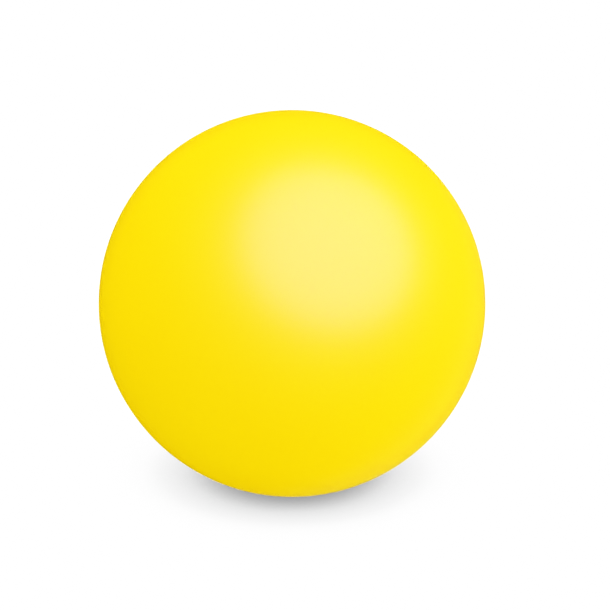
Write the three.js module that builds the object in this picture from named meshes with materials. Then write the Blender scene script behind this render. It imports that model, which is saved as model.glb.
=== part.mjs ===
import * as THREE from 'three';

// A foam stress ball, millimetres, +Z up, standing on the small flat at its bottom pole.
// From the outside in: a sprayed elastic coat in two halves, the dense skin that the foam
// forms against each mould half, and the cellular foam core that fills them. The core's
// pouring neck passes through the lower skin and coat and is closed with a dab of coating.

// Driving dimensions
const BALL_DIAMETER = 63;
const COAT_THICKNESS = 0.2;
const SKIN_THICKNESS = 1.2;
const BOND_GAP = 0.1;
const PARTING_GAP = 0.1;
const REST_FLAT_DIAMETER = 9;
const GATE_DIAMETER = 6;

// Facets of every round surface, the same in all layers so that the gaps stay even
const FACETS_AROUND = 48;
const FACETS_PER_QUARTER = 12;

// Colours and finishes
const COAT_FINISH = { color: 0xfade00, roughness: 0.4, metalness: 0 };
const SKIN_FINISH = { color: 0xf2d96b, roughness: 0.7, metalness: 0 };
const FOAM_FINISH = { color: 0xf0e6b4, roughness: 0.95, metalness: 0 };

// Outer radius of each layer
const COAT_RADIUS = BALL_DIAMETER / 2;
const COAT_INSIDE_RADIUS = COAT_RADIUS - COAT_THICKNESS;
const SKIN_RADIUS = COAT_INSIDE_RADIUS - BOND_GAP;
const SKIN_INSIDE_RADIUS = SKIN_RADIUS - SKIN_THICKNESS;
const CORE_RADIUS = SKIN_INSIDE_RADIUS - BOND_GAP;
const GATE_RADIUS = GATE_DIAMETER / 2;

// Angle at the ball's centre from the bottom pole to the edge of the flat, in every layer
const FLAT_ANGLE = Math.asin(REST_FLAT_DIAMETER / BALL_DIAMETER);

// A point of a layer's outline, at a latitude above (+) or below (-) the parting line
function layerPoint(radius, latitude) {
  return new THREE.Vector2(radius * Math.cos(latitude), radius * Math.sin(latitude));
}

// Outline from one latitude to another, both ends included
function layerArc(radius, fromLatitude, toLatitude) {
  const points = [];
  for (let step = 0; step <= FACETS_PER_QUARTER; step += 1) {
    const share = step / FACETS_PER_QUARTER;
    points.push(layerPoint(radius, THREE.MathUtils.lerp(fromLatitude, toLatitude, share)));
  }
  return points;
}

// Outline from the parting line to the top pole; the last point is exactly on the axis
function upperArc(radius, partingOffset) {
  const arc = layerArc(radius, Math.asin(partingOffset / radius), Math.PI / 2);
  arc[arc.length - 1].x = 0;
  return arc;
}

// Outline from the edge of the bottom flat to the parting line
function lowerArc(radius, partingOffset) {
  return layerArc(radius, FLAT_ANGLE - Math.PI / 2, -Math.asin(partingOffset / radius));
}

// Distance from the ball's centre down to a layer's flat
function flatDepth(radius) {
  return radius * Math.cos(FLAT_ANGLE);
}

// Turns an outline, listed from bottom to top on its outer side, about the ball's axis
function turned(name, outline, finish) {
  const geometry = new THREE.LatheGeometry(outline, FACETS_AROUND);
  const mesh = new THREE.Mesh(geometry, new THREE.MeshStandardMaterial(finish));
  mesh.name = name;
  return mesh;
}

// The half of a layer above the parting line, an open dome
function upperShell(name, outsideRadius, insideRadius, finish) {
  const offset = PARTING_GAP / 2;
  const outside = upperArc(outsideRadius, offset);
  const inside = upperArc(insideRadius, offset).reverse();
  return turned(name, [...inside, ...outside], finish);
}

// The half of a layer below the parting line, a cup with a flat foot and the gate's hole
function lowerShell(name, outsideRadius, insideRadius, finish) {
  const offset = PARTING_GAP / 2;
  const holeRadius = GATE_RADIUS + BOND_GAP;
  const holeBottom = new THREE.Vector2(holeRadius, -flatDepth(outsideRadius));
  const holeTop = new THREE.Vector2(holeRadius, -flatDepth(insideRadius));
  const outside = lowerArc(outsideRadius, offset);
  const inside = lowerArc(insideRadius, offset).reverse();
  return turned(name, [holeTop, holeBottom, ...outside, ...inside, holeTop.clone()], finish);
}

// The foam core with its pouring neck, trimmed just under the closing dab
function foamCore() {
  const neckEnd = -flatDepth(COAT_INSIDE_RADIUS - BOND_GAP);
  const neck = [
    new THREE.Vector2(0, neckEnd),
    new THREE.Vector2(GATE_RADIUS, neckEnd),
    new THREE.Vector2(GATE_RADIUS, -flatDepth(CORE_RADIUS)),
  ];
  const below = lowerArc(CORE_RADIUS, 0);
  const above = upperArc(CORE_RADIUS, 0).slice(1);
  return turned('foam_core', [...neck, ...below, ...above], FOAM_FINISH);
}

// The dab of coating that closes the gate, level with the flat
function gatePatch() {
  const bottom = -flatDepth(COAT_RADIUS);
  const top = -flatDepth(COAT_INSIDE_RADIUS);
  const outline = [
    new THREE.Vector2(0, bottom),
    new THREE.Vector2(GATE_RADIUS, bottom),
    new THREE.Vector2(GATE_RADIUS, top),
    new THREE.Vector2(0, top),
  ];
  return turned('gate_patch', outline, COAT_FINISH);
}

// The lathe turns about Y, so the ball is stood up on Z and raised onto its flat
const stressBall = new THREE.Group();
stressBall.rotation.x = Math.PI / 2;
stressBall.position.z = flatDepth(COAT_RADIUS);
stressBall.add(
  upperShell('upper_coat', COAT_RADIUS, COAT_INSIDE_RADIUS, COAT_FINISH),
  lowerShell('lower_coat', COAT_RADIUS, COAT_INSIDE_RADIUS, COAT_FINISH),
  upperShell('upper_skin', SKIN_RADIUS, SKIN_INSIDE_RADIUS, SKIN_FINISH),
  lowerShell('lower_skin', SKIN_RADIUS, SKIN_INSIDE_RADIUS, SKIN_FINISH),
  foamCore(),
  gatePatch(),
);

export default stressBall;
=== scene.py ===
import math

import bmesh
import bpy
import numpy as np
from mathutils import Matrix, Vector, noise


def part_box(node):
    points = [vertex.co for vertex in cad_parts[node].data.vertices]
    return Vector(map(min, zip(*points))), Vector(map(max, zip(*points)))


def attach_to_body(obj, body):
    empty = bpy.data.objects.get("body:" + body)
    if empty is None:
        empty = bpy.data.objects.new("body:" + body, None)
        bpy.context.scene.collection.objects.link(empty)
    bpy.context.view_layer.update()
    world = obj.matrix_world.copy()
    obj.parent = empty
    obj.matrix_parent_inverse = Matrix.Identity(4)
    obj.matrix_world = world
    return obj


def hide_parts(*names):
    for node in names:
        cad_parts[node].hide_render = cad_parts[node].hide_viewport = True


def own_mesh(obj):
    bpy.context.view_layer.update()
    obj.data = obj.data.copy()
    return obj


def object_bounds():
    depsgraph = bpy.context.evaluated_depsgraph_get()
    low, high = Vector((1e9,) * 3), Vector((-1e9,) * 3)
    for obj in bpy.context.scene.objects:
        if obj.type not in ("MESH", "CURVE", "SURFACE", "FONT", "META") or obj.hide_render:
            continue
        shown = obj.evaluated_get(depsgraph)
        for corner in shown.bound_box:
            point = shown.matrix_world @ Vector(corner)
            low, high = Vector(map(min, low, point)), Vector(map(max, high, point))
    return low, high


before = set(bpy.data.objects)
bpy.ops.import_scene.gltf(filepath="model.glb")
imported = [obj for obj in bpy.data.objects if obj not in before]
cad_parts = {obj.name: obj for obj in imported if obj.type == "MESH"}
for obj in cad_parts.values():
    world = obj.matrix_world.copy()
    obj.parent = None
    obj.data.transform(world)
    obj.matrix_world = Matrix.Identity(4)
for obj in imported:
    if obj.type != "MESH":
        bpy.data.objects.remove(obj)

# A yellow moulded foam stress ball. Lengths are metres in the row frame, unless a name says MM.
# From the outside in: a satin coat in two halves, the foam's dense skin, and its cellular core.

MM = 0.001
cad_low, cad_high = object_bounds()

# Places and sizes that the CAD model and its record give
COAT_RADIUS = (cad_high.x - cad_low.x) / 2
TOP = cad_high.z
BOTTOM = cad_low.z
CENTRE = TOP - COAT_RADIUS
SKIN_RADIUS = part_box("upper_skin")[1].x
CORE_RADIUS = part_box("foam_core")[1].x
GATE_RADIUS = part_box("gate_patch")[1].x
DAB_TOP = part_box("gate_patch")[1].z
NECK_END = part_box("foam_core")[0].z
FLAT_SHARE = (CENTRE - BOTTOM) / COAT_RADIUS

# The layers' own sizes
COAT_THICKNESS = 0.2 * MM
BOND_GAP = 0.1 * MM
GATE_GAP = 0.05 * MM

# The moulded surface: the softness of the flat's edge, the witness line at the parting,
# and slow and quick waves, each with its height and how many fit in the ball's radius
FLAT_SOFTNESS = 0.06 * MM
RIDGE_HEIGHT = 0.006 * MM
RIDGE_WIDTH = 0.12 * MM
SLOW_WAVE = 0.02 * MM
SLOW_WAVES = 2.6
QUICK_WAVE = 0.004 * MM
QUICK_WAVES = 11
WAVES_FADE_BELOW = 1.5 * MM

# Foam cells: pits in the core, and bosses inside the skin. The wall between two cells
# slopes over CELL_WALL of a cell.
CELLS_PER_MM = 0.55
CELL_WALL = 0.35
CORE_PIT = 0.16 * MM
SKIN_BOSS = 0.05 * MM

# The dab over the gate
DAB_DISH = 0.06 * MM
DAB_RIPPLE = 0.02 * MM
DAB_RIPPLES_PER_MM = 1.4

# Where most values of a material's noise lie
NOISE_LOW = 0.3
NOISE_HIGH = 0.7

# How finely each layer is meshed: rows of rings from pole to parting line, with fine ones in
# the lip beside it. Each ring has RING_STEP points more than the ring inside it, and the
# gate's edge is ring number GATE_START.
COAT_ROWS = 128
SKIN_ROWS = 96
CORE_ROWS = 120
LIP_WIDTH = 0.5 * MM
LIP_ROWS = 5
LIP_EASE = 1.5
NECK_ROWS = 3
GATE_START = 12
DAB_RINGS = 2 * GATE_START
RING_STEP = 4


# ---- Meshes ----

def ring(count, radius, height):
    """One level ring of points about the ball's axis, or the one point on the axis."""
    if count == 0:
        return [Vector((0, 0, height))]
    turns = (2 * math.pi * i / count for i in range(count))
    return [Vector((radius * math.cos(t), radius * math.sin(t), height)) for t in turns]


def stitch(first, second):
    """Triangles between two rings of vertex numbers that start at the same angle."""
    if len(first) == 1:
        return [(first[0], a, b) for a, b in zip(second, second[1:] + second[:1])]
    if len(second) == 1:
        return [(a, second[0], b) for a, b in zip(first, first[1:] + first[:1])]
    faces = []
    i = j = 0
    while i < len(first) or j < len(second):
        here, there = first[i % len(first)], second[j % len(second)]
        if (j + 1) * len(first) <= (i + 1) * len(second):
            j += 1
            faces.append((here, there, second[j % len(second)]))
        else:
            i += 1
            faces.append((here, there, first[i % len(first)]))
    return faces


def turned_mesh(name, outline, relief, closed, sharp):
    """A closed body turned from outline, a list of (ring count, radius, height).

    relief moves each point, closed joins the last ring to the first, and sharp holds the
    places in the outline where the surface has an edge."""
    points, numbers, faces = [], [], []
    for count, radius, height in outline:
        start = len(points)
        points += ring(count, radius, height)
        numbers.append(list(range(start, len(points))))
    pairs = list(zip(numbers, numbers[1:]))
    if closed:
        pairs.append((numbers[-1], numbers[0]))
    for first, second in pairs:
        faces += stitch(first, second)
    mesh = bpy.data.meshes.new(name)
    mesh.from_pydata([relief(p) for p in points], [], faces)
    creases = {v for place in sharp for v in numbers[place]}
    finish_mesh(mesh, creases)
    piece = bpy.data.objects.new(name, mesh)
    bpy.context.scene.collection.objects.link(piece)
    return piece


def finish_mesh(mesh, creases):
    """Turns the faces outwards, shades them smooth up to the creases, and keeps where
    each point is at rest, in millimetres, so that a material stays on its surface."""
    shape = bmesh.new()
    shape.from_mesh(mesh)
    bmesh.ops.recalc_face_normals(shape, faces=shape.faces)
    for face in shape.faces:
        face.smooth = True
    for edge in shape.edges:
        if edge.verts[0].index in creases and edge.verts[1].index in creases:
            edge.smooth = False
    shape.to_mesh(mesh)
    shape.free()
    rest = mesh.attributes.new("rest_mm", "FLOAT_VECTOR", "POINT")
    places = np.array([v.co for v in mesh.vertices]) / MM
    rest.data.foreach_set("vector", places.astype(np.float32).ravel())


def row_angles(rows, radius):
    """Angles from the pole to the parting line, in even rows and then fine ones at the lip."""
    lip = LIP_WIDTH / radius
    even = [(math.pi / 2 - lip) * k / (rows - LIP_ROWS) for k in range(rows - LIP_ROWS)]
    fine = [math.pi / 2 - lip * (1 - k / LIP_ROWS) ** LIP_EASE for k in range(LIP_ROWS + 1)]
    return even + fine


def flattened(height, flat):
    """A height that eases onto the flat instead of going below it."""
    above = height - flat
    return flat + (above + math.hypot(above, FLAT_SOFTNESS)) / 2


def upper_outline(rows, radius):
    """From the top pole to the parting line."""
    return [
        (RING_STEP * k, radius * math.sin(a), CENTRE + radius * math.cos(a))
        for k, a in enumerate(row_angles(rows, radius))
    ]


def lower_outline(rows, radius, hole):
    """From the parting line down and in to the edge of a hole in the flat."""
    flat = CENTRE - radius * FLAT_SHARE
    hole_angle = math.asin(hole / radius)
    outline = []
    for k, a in enumerate(row_angles(rows - GATE_START, radius)):
        angle = hole_angle + (math.pi / 2 - hole_angle) * a / (math.pi / 2)
        height = flattened(CENTRE - radius * math.cos(angle), flat)
        outline.append((RING_STEP * (k + GATE_START), radius * math.sin(angle), height))
    return outline[::-1]


def ball_direction(point):
    """Straight out from the ball's centre through point."""
    return (point - Vector((0, 0, CENTRE))).normalized()


def moulded(point):
    """The slight unevenness of a moulded surface, and its witness line at the parting."""
    out = ball_direction(point)
    wave = SLOW_WAVE * noise.noise(out * SLOW_WAVES) + QUICK_WAVE * noise.noise(out * QUICK_WAVES)
    ridge = RIDGE_HEIGHT * math.exp(-(((point.z - CENTRE) / RIDGE_WIDTH) ** 2))
    fade = min(1, abs(point.z - BOTTOM) / WAVES_FADE_BELOW)
    return point + out * (wave + ridge) * fade


def cellular(point, depth):
    """Foam cells as pits that go in from a surface by up to depth."""
    nearest, second = noise.voronoi(point / MM * CELLS_PER_MM)[0][:2]
    inside = min(1, max(0, (second - nearest) / CELL_WALL))
    return point - ball_direction(point) * depth * inside * inside


def shell_outline(outside, inside):
    """Outside surface, edge, and inside surface back to the start."""
    return outside + inside[::-1]


# ---- Materials ----

class Nodes:
    """A material's node tree, with short calls for its nodes."""

    def __init__(self, name):
        self.material = bpy.data.materials.new(name)
        self.material.use_nodes = True
        self.tree = self.material.node_tree
        self.shader = self.tree.nodes["Principled BSDF"]
        place = self.tree.nodes.new("ShaderNodeAttribute")
        place.attribute_name = "rest_mm"
        self.place = place.outputs["Vector"]

    def link(self, source, target):
        self.tree.links.new(source, target)

    def noise(self, per_mm, detail):
        """Noise from 0 to 1, with this many features to the millimetre."""
        node = self.tree.nodes.new("ShaderNodeTexNoise")
        node.inputs["Scale"].default_value = per_mm
        node.inputs["Detail"].default_value = detail
        self.link(self.place, node.inputs["Vector"])
        return node.outputs["Fac"]

    def cells(self, per_mm, feature="F1"):
        """Distance in Voronoi cells, with this many cells to the millimetre."""
        node = self.tree.nodes.new("ShaderNodeTexVoronoi")
        node.feature = feature
        node.inputs["Scale"].default_value = per_mm
        self.link(self.place, node.inputs["Vector"])
        return node.outputs["Distance"]

    def spread(self, value, low, high, to_low=0.0, to_high=1.0):
        """value from low to high, taken evenly to the second range and held at its ends."""
        node = self.tree.nodes.new("ShaderNodeMapRange")
        for socket, number in zip(node.inputs[1:5], (low, high, to_low, to_high)):
            socket.default_value = number
        self.link(value, node.inputs["Value"])
        return node.outputs["Result"]

    def mix(self, share, first, second):
        """Colour from first to second by share. Each is a colour or a socket."""
        node = self.tree.nodes.new("ShaderNodeMix")
        node.data_type = "RGBA"
        self.link(share, node.inputs["Factor"])
        for name, colour in (("A", first), ("B", second)):
            socket = next(s for s in node.inputs if s.name == name and s.type == "RGBA")
            if isinstance(colour, tuple):
                socket.default_value = (*colour, 1)
            else:
                self.link(colour, socket)
        return next(s for s in node.outputs if s.type == "RGBA")

    def bump(self, height, depth_mm, below=None):
        """A bump as deep as depth_mm where height is 1, on top of the bump below."""
        node = self.tree.nodes.new("ShaderNodeBump")
        node.inputs["Strength"].default_value = 1.0
        node.inputs["Distance"].default_value = depth_mm * MM
        self.link(height, node.inputs["Height"])
        if below is not None:
            self.link(below, node.inputs["Normal"])
        return node.outputs["Normal"]

    def set(self, socket, value):
        """Gives the shader's socket a number, or links another node's output to it."""
        target = self.shader.inputs[socket]
        if isinstance(value, bpy.types.NodeSocket):
            self.link(value, target)
        else:
            target.default_value = value


def set_lacquer(m, surface):
    """The lacquer's satin gloss: a thin clear film over a nearly matte colour."""
    m.set("Normal", surface)
    m.set("Coat Normal", surface)
    m.set("Specular IOR Level", 0.03)
    m.set("Coat Weight", 0.22)
    m.set("Coat Roughness", 0.36)
    m.set("Coat IOR", 4.0)


def coat_material():
    """Satin elastic lacquer: nearly even yellow, a fine orange peel and rare pinholes."""
    deep, light, grain = (0.948, 0.672, 0.0008), (0.958, 0.688, 0.0014), (0.94, 0.66, 0.0)
    m = Nodes("satin_yellow_coat")
    clouds = m.spread(m.noise(per_mm=0.05, detail=3), NOISE_LOW, NOISE_HIGH)
    speckle = m.spread(m.noise(per_mm=3.0, detail=2), 0.35, 0.65, to_low=0.0, to_high=0.25)
    m.set("Base Color", m.mix(speckle, m.mix(clouds, deep, light), grain))
    uneven = m.noise(per_mm=0.35, detail=4)
    m.set("Roughness", m.spread(uneven, NOISE_LOW, NOISE_HIGH, to_low=0.32, to_high=0.38))
    peel = m.bump(m.noise(per_mm=1.3, detail=2), depth_mm=0.006)
    pinholes = m.spread(m.cells(per_mm=0.35), 0.0, 0.035, to_low=1.0, to_high=0.0)
    set_lacquer(m, m.bump(pinholes, depth_mm=-0.02, below=peel))
    return m.material


def dab_material():
    """The same lacquer put on with a brush over the trimmed gate."""
    thick, thin = (0.93, 0.62, 0.0), (0.96, 0.69, 0.002)
    m = Nodes("brushed_yellow_dab")
    strokes = m.noise(per_mm=0.9, detail=3)
    m.set("Base Color", m.mix(m.spread(strokes, NOISE_LOW, NOISE_HIGH), thick, thin))
    m.set("Roughness", m.spread(strokes, NOISE_LOW, NOISE_HIGH, to_low=0.3, to_high=0.5))
    set_lacquer(m, m.bump(strokes, depth_mm=0.05))
    return m.material


def skin_material():
    """Dense foam skin, pale yellow and matte, with fine pores painted darker as shade in their
    pits.
    """
    pore_shade, deep, light = (0.62, 0.46, 0.10), (0.80, 0.62, 0.16), (0.86, 0.69, 0.22)
    m = Nodes("dense_foam_skin")
    pores = m.spread(m.cells(per_mm=2.2), 0.05, 0.3)
    clouds = m.spread(m.noise(per_mm=0.12, detail=3), NOISE_LOW, NOISE_HIGH)
    # The pores' darker colour is painted shade in their pits, beside their bump.
    m.set("Base Color", m.mix(pores, pore_shade, m.mix(clouds, deep, light)))
    uneven = m.noise(per_mm=0.8, detail=3)
    m.set("Roughness", m.spread(uneven, NOISE_LOW, NOISE_HIGH, to_low=0.7, to_high=0.85))
    m.set("Normal", m.bump(pores, depth_mm=0.08))
    return m.material


def core_material():
    """Open soft foam: pale cell walls around cells painted darker as shade in their hollows."""
    cell_shade, deep, light = (0.52, 0.42, 0.18), (0.80, 0.70, 0.38), (0.87, 0.79, 0.50)
    m = Nodes("cellular_foam")
    openings = m.spread(m.cells(per_mm=1.6, feature="DISTANCE_TO_EDGE"), 0.02, 0.22)
    clouds = m.spread(m.noise(per_mm=0.08, detail=3), NOISE_LOW, NOISE_HIGH)
    # The cells' darker colour is painted shade in their hollows.
    m.set("Base Color", m.mix(openings, m.mix(clouds, deep, light), cell_shade))
    m.set("Roughness", m.spread(openings, 0.0, 1.0, to_low=0.85, to_high=1.0))
    m.set("Normal", m.bump(openings, depth_mm=-0.25))
    return m.material


# ---- Pieces ----

def attach(piece, node, body, material):
    """Stands piece in for its CAD node: it rides the node's body and flattens with it."""
    piece.data.materials.append(material)
    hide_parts(node)
    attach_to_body(piece, body)
    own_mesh(piece)
    return piece


def upper_shell(name, rows, outside_radius, inside_radius, relief):
    """A dome with a sharp edge all round at the parting line."""
    outline = shell_outline(
        upper_outline(rows, outside_radius), upper_outline(rows, inside_radius)
    )
    return turned_mesh(name, outline, relief, closed=False, sharp=(rows, rows + 1))


def lower_shell(name, rows, outside_radius, inside_radius, relief):
    """A bowl with sharp edges at the parting line and round the gate's hole."""
    hole = GATE_RADIUS + GATE_GAP
    outside = lower_outline(rows, outside_radius, hole)
    inside = lower_outline(rows, inside_radius, hole)
    outline = shell_outline(outside, inside)
    edge = len(outside)
    sharp = (0, edge - 1, edge, 2 * edge - 1)
    return turned_mesh(name, outline, relief, closed=True, sharp=sharp)


def skin_relief(point):
    """Smooth outside, where it met the coat, and cellular inside, where it met the core."""
    distance = (point - Vector((0, 0, CENTRE))).length
    inner = distance < (SKIN_RADIUS + CORE_RADIUS) / 2
    return cellular(point, -SKIN_BOSS) if inner else point


def core_relief(point):
    """Cellular all over, but plain on the neck and its trimmed end."""
    from_axis = math.hypot(point.x, point.y)
    on_neck = point.z < CENTRE and from_axis < GATE_RADIUS + GATE_GAP / 2
    return point if on_neck else cellular(point, CORE_PIT)


def core_outline():
    """From the top pole to the flat, and down the pouring neck to its trimmed end."""
    above = upper_outline(CORE_ROWS, CORE_RADIUS)
    below = lower_outline(CORE_ROWS, CORE_RADIUS, GATE_RADIUS)[1:]
    root = below[-1][2]
    neck = [
        (RING_STEP * GATE_START, GATE_RADIUS, root + (NECK_END - root) * k / NECK_ROWS)
        for k in range(1, NECK_ROWS + 1)
    ]
    face = [
        (RING_STEP * k, GATE_RADIUS * k / GATE_START, NECK_END)
        for k in range(GATE_START - 1, -1, -1)
    ]
    return above + below + neck + face


def dab_relief(point):
    """A brushed dab: dished in the middle and rippled, never lower than the flat."""
    if point.z > (DAB_TOP + BOTTOM) / 2:
        return point
    out = math.hypot(point.x, point.y) / GATE_RADIUS
    dish = DAB_DISH * (1 - out * out)
    ripple = DAB_RIPPLE * (1 + noise.noise(point / MM * DAB_RIPPLES_PER_MM))
    return point + Vector((0, 0, dish + ripple))


def dab_outline():
    """A thin disc, twice as finely meshed as the neck's end above it."""
    rings = range(DAB_RINGS + 1)
    lower = [(RING_STEP * k, GATE_RADIUS * k / DAB_RINGS, BOTTOM) for k in rings]
    upper = [(count, radius, DAB_TOP) for count, radius, _ in lower]
    return shell_outline(lower, upper)


def make_ball():
    """Each piece: its mesh, and its node, body and material."""
    coat, skin = coat_material(), skin_material()
    coat_inside = COAT_RADIUS - COAT_THICKNESS
    skin_inside = CORE_RADIUS + BOND_GAP
    attach(
        upper_shell("coat_upper_half", COAT_ROWS, COAT_RADIUS, coat_inside, moulded),
        "upper_coat", "upper_half", coat,
    )
    attach(
        lower_shell("coat_lower_half", COAT_ROWS, COAT_RADIUS, coat_inside, moulded),
        "lower_coat", "lower_half", coat,
    )
    upper_skin = attach(
        upper_shell("foam_skin_upper_half", SKIN_ROWS, SKIN_RADIUS, skin_inside, skin_relief),
        "upper_skin", "upper_half", skin,
    )
    lower_skin = attach(
        lower_shell("foam_skin_lower_half", SKIN_ROWS, SKIN_RADIUS, skin_inside, skin_relief),
        "lower_skin", "lower_half", skin,
    )
    core = attach(
        turned_mesh("foam_core_cells", core_outline(), core_relief, closed=False, sharp=()),
        "foam_core", "core", core_material(),
    )
    rim = (DAB_RINGS, DAB_RINGS + 1)
    attach(
        turned_mesh("gate_dab", dab_outline(), dab_relief, closed=False, sharp=rim),
        "gate_patch", "lower_half", dab_material(),
    )


# ---- Studio ----

# The ball's outline fills BALL_SHARE of the frame's width, a little left of the middle and
# above it.
CAMERA_ELEVATION = math.radians(17)
LENS_MM = 100
SENSOR_MM = 36
BALL_SHARE = 0.6344
NEAREST_SEEN = 10 * MM
CAMERA_RIGHT = 2.1 * MM
CAMERA_DOWN = 0.25 * MM

# The floor's tones pair how open to the air a point of the floor is with how light it is, and so
# paint the ball's shadow into the floor's glow.
# FLOOR_LEAN is the way that the floor looks for open air, a little towards the front, which moves
# the painted shadow back.
FLOOR_SIDE = 3.0
FLOOR_LIGHT = 1.3
FLOOR_SAMPLES = 32
FLOOR_LEAN = (0.025, -0.35, 1.0)
FLOOR_SHADOW_TONES = (
    (0.0, 0.1), (0.2, 0.33), (0.35, 0.63), (0.42, 0.705), (0.53, 0.81), (0.62, 0.88),
    (0.75, 1.0),
)

# Directions that end in TO_LIGHT point at a light: the tent's in the row frame, and the
# softbox's and the rim card's as the camera sees them.
TENT_TO_LIGHT = (0.8, 0.65, 1.0)
TENT_BRIGHT_HALF = 1.53
TENT_DIM_HALF = 1.13
SOFTBOX_DISTANCE = 0.6
SOFTBOX_HALF_ANGLE = math.radians(46)
SOFTBOX_TO_LIGHT = (0.362, 0.55, 0.752)
SOFTBOX_RADIANCE = 2.8
SOFTBOX_COLOUR = (0.34, 0.34, 1.0)
RIM_TO_LIGHT = (0.5, -0.25, -0.83)
RIM_HALF_ANGLE = math.radians(35)
RIM_RADIANCE = 0.12

# The tone scale pairs light in the scene with light in the picture. It is one curve for all
# three colours, which is COMBINED among the four that Blender holds.
COMBINED = 3
CURVE = (
    (0.0, 0.0), (0.8, 0.79), (0.914, 0.88), (0.974, 0.922), (1.025, 0.962), (1.06, 0.982),
    (1.12, 0.996), (1.2, 1.0), (1.25, 1.0),
)


def add_camera():
    """A long lens in front of the ball, looking down at it."""
    half_frame = SENSOR_MM / 2 / LENS_MM
    ball_half_angle = math.atan(BALL_SHARE * half_frame)
    distance = COAT_RADIUS / math.sin(ball_half_angle)
    lens = bpy.data.cameras.new("camera")
    lens.lens = LENS_MM
    lens.sensor_width = SENSOR_MM
    lens.clip_start = NEAREST_SEEN
    camera = bpy.data.objects.new("camera", lens)
    camera.rotation_euler = (math.pi / 2 - CAMERA_ELEVATION, 0, 0)
    turn = camera.rotation_euler.to_matrix()
    centre = Vector((0, 0, CENTRE))
    camera.location = centre + turn @ Vector((CAMERA_RIGHT, -CAMERA_DOWN, distance))
    bpy.context.scene.collection.objects.link(camera)
    bpy.context.scene.camera = camera
    return camera


def ramp_node(tree, source, tones):
    """Grey by source, through tones, a list of (source, grey)."""
    ramp = tree.nodes.new("ShaderNodeValToRGB")
    stops = ramp.color_ramp.elements
    while len(stops) < len(tones):
        stops.new(0.5)
    for stop, (place, grey) in zip(stops, tones):
        stop.position = place
        stop.color = (grey, grey, grey, 1)
    tree.links.new(source, ramp.inputs["Fac"])
    return ramp.outputs["Color"]


def floor_material():
    """An even white glow with the ball's shadow painted in: dark where the ball hides the open
    air.
    """
    material = bpy.data.materials.new("pale_floor_painted_shadow")
    material.use_nodes = True
    tree = material.node_tree
    tree.nodes.clear()
    openness = tree.nodes.new("ShaderNodeAmbientOcclusion")
    openness.samples = FLOOR_SAMPLES
    openness.inputs["Distance"].default_value = FLOOR_SIDE
    lean = tree.nodes.new("ShaderNodeCombineXYZ")
    for socket, part in zip(lean.inputs, Vector(FLOOR_LEAN).normalized()):
        socket.default_value = part
    tree.links.new(lean.outputs["Vector"], openness.inputs["Normal"])
    glow = tree.nodes.new("ShaderNodeEmission")
    # The ramp paints the ball's shadow into the glow: the less open air a point sees, the darker
    # it is.
    tree.links.new(ramp_node(tree, openness.outputs["AO"], FLOOR_SHADOW_TONES), glow.inputs["Color"])
    glow.inputs["Strength"].default_value = FLOOR_LIGHT
    output = tree.nodes.new("ShaderNodeOutputMaterial")
    tree.links.new(glow.outputs["Emission"], output.inputs["Surface"])
    return material


def add_floor():
    """A white table that glows, with the ball's shadow painted into its glow. It sends no light
    on to the ball, which the tent lights from below in its stead, and doesn't hide the tent's
    lower parts."""
    mesh = bpy.data.meshes.new("floor")
    half = FLOOR_SIDE / 2
    corners = [(-half, -half), (half, -half), (half, half), (-half, half)]
    mesh.from_pydata([(x, y, BOTTOM) for x, y in corners], [], [(0, 1, 2, 3)])
    mesh.materials.append(floor_material())
    floor = bpy.data.objects.new("floor", mesh)
    bpy.context.scene.collection.objects.link(floor)
    floor.visible_diffuse = False
    floor.visible_glossy = False
    floor.visible_shadow = False


def add_room():
    """A dark room: all light comes from the lamps."""
    world = bpy.data.worlds.new("dark_room")
    world.use_nodes = True
    bpy.context.scene.world = world
    world.node_tree.nodes["Background"].inputs["Color"].default_value = (0, 0, 0, 1)


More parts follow.
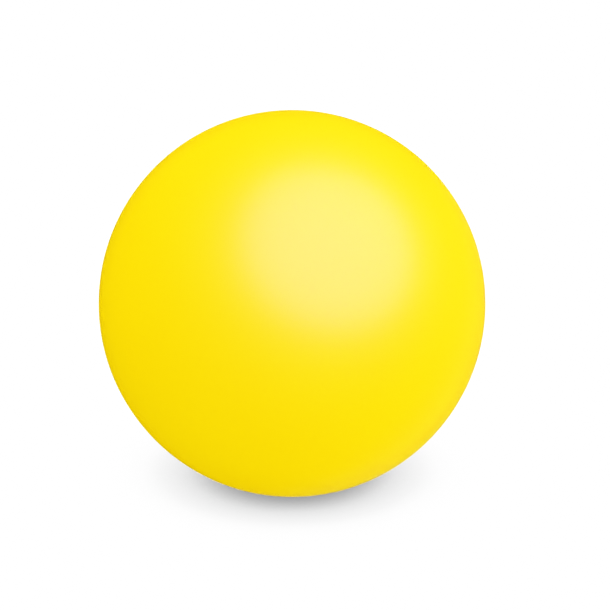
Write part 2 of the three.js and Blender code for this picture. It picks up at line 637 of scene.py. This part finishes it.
def add_tent(name, direction, radiance):
    """Half a tent of even white cloth, centred on direction and left out of the gloss."""
    lamp = bpy.data.lights.new(name, "SUN")
    lamp.angle = math.pi
    lamp.energy = radiance * math.pi
    lamp.cycles.use_multiple_importance_sampling = False
    light = bpy.data.objects.new(name, lamp)
    light.rotation_euler = direction.to_track_quat("Z", "Y").to_euler()
    light.visible_glossy = False
    bpy.context.scene.collection.objects.link(light)


def add_softbox(name, direction, half_angle, distance, radiance, colour):
    """A round softbox that faces the ball's centre from direction."""
    radius = distance * math.tan(half_angle)
    lamp = bpy.data.lights.new(name, "AREA")
    lamp.shape = "DISK"
    lamp.size = 2 * radius
    lamp.color = colour
    lamp.energy = radiance * math.pi * math.pi * radius * radius
    lamp.cycles.use_multiple_importance_sampling = False
    light = bpy.data.objects.new(name, lamp)
    light.location = Vector((0, 0, CENTRE)) + direction.normalized() * distance
    light.rotation_euler = direction.to_track_quat("Z", "Y").to_euler()
    bpy.context.scene.collection.objects.link(light)
    return light


def add_lights(camera):
    """A softbox and a weak card low behind the ball, seen only in the gloss, and the tent."""
    turn = camera.rotation_euler.to_matrix()
    gloss = add_softbox(
        "gloss_softbox", turn @ Vector(SOFTBOX_TO_LIGHT), SOFTBOX_HALF_ANGLE,
        SOFTBOX_DISTANCE, SOFTBOX_RADIANCE, SOFTBOX_COLOUR,
    )
    gloss.visible_diffuse = False
    rim = add_softbox(
        "rim_card", turn @ Vector(RIM_TO_LIGHT), RIM_HALF_ANGLE, SOFTBOX_DISTANCE,
        RIM_RADIANCE, (1, 1, 1),
    )
    rim.visible_diffuse = False
    add_tent("tent_bright_half", Vector(TENT_TO_LIGHT), TENT_BRIGHT_HALF)
    add_tent("tent_dim_half", -Vector(TENT_TO_LIGHT), TENT_DIM_HALF)


def set_tone():
    """A straight tone scale that eases off near white, as a camera's does."""
    view = bpy.context.scene.view_settings
    view.view_transform = "Standard"
    view.look = "None"
    view.use_curve_mapping = True
    mapping = view.curve_mapping
    most = CURVE[-1][0]
    mapping.white_level = (most, most, most)
    curve = mapping.curves[COMBINED]
    while len(curve.points) < len(CURVE):
        curve.points.new(0.5, 0.5)
    for point, (light, shown) in zip(curve.points, CURVE):
        point.location = (light / most, shown)
        point.handle_type = "VECTOR"
    mapping.update()


make_ball()
camera = add_camera()
add_floor()
add_room()
add_lights(camera)
set_tone()
